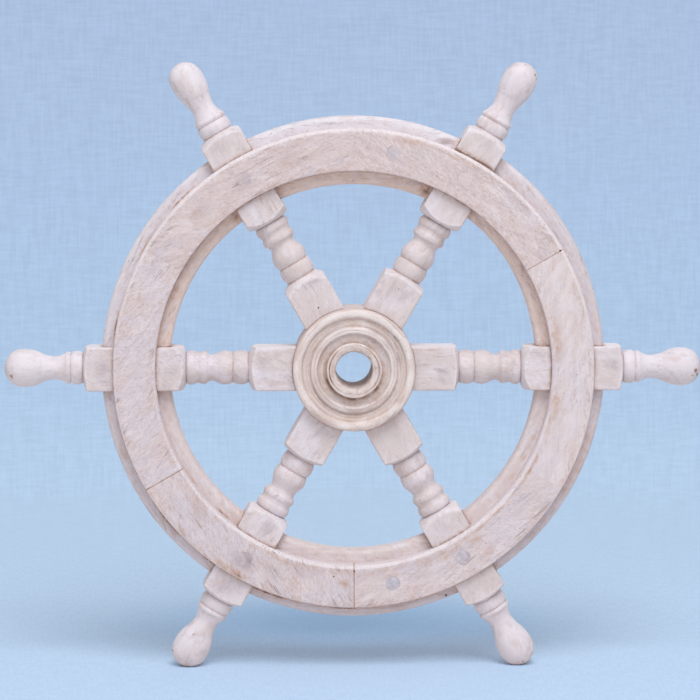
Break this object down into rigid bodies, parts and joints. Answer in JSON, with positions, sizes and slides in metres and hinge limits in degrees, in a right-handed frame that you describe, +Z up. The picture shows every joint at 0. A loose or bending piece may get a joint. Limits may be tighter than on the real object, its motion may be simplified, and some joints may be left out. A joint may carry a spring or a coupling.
{
  "type": "ship steering wheel",
  "caption": "Whitewashed wooden ship steering wheel with turned spokes and handles, a three-layer rim and a moulded hub that spins on a bored bush.",
  "frame": {"origin": "middle of the hub, on the axle line, in the middle plane of the spokes", "axes": "+Y along the axle, from the front face to the back; +Z up; +X to the right, along a spoke, seen from the front"},
  "size_m": [0.61, 0.057, 0.5324],
  "materials": {
    "turned_white_wood": "whitewashed, worn",
    "facing_white_wood": "whitewashed, brushed grain",
    "felloe_wood": "whitewashed, thin",
    "hub_wood": "whitewashed, turned",
    "bush_wood": "whitewashed, turned",
    "plug_wood": "whitewashed end grain",
    "screw_steel": "plain"
  },
  "bodies": {
    "bush": {"hub_bush": "bush_wood"},
    "wheel": {"spoke_1": "turned_white_wood", "spoke_2": "turned_white_wood", "spoke_3": "turned_white_wood", "spoke_4": "turned_white_wood", "spoke_5": "turned_white_wood", "spoke_6": "turned_white_wood", "felloe_1": "felloe_wood", "felloe_2": "felloe_wood", "felloe_3": "felloe_wood", "felloe_4": "felloe_wood", "felloe_5": "felloe_wood", "felloe_6": "felloe_wood", "front_rim_segment_1": "facing_white_wood", "front_rim_segment_2": "facing_white_wood", "front_rim_segment_3": "facing_white_wood", "front_rim_segment_4": "facing_white_wood", "front_rim_segment_5": "facing_white_wood", "front_rim_segment_6": "facing_white_wood", "back_rim_segment_1": "facing_white_wood", "back_rim_segment_2": "facing_white_wood", "back_rim_segment_3": "facing_white_wood", "back_rim_segment_4": "facing_white_wood", "back_rim_segment_5": "facing_white_wood", "back_rim_segment_6": "facing_white_wood", "hub_core": "hub_wood", "hub_front_plate": "hub_wood", "hub_back_plate": "hub_wood", "rim_plugs": "plug_wood", "rim_screws": "screw_steel", "hub_screws": "screw_steel"}
  },
  "joints": [
    {"name": "wheel_spin", "type": "hinge", "parent": "bush", "child": "wheel", "pos_m": [0, 0, 0], "axis": [0, 1, 0], "continuous": true}
  ]
}
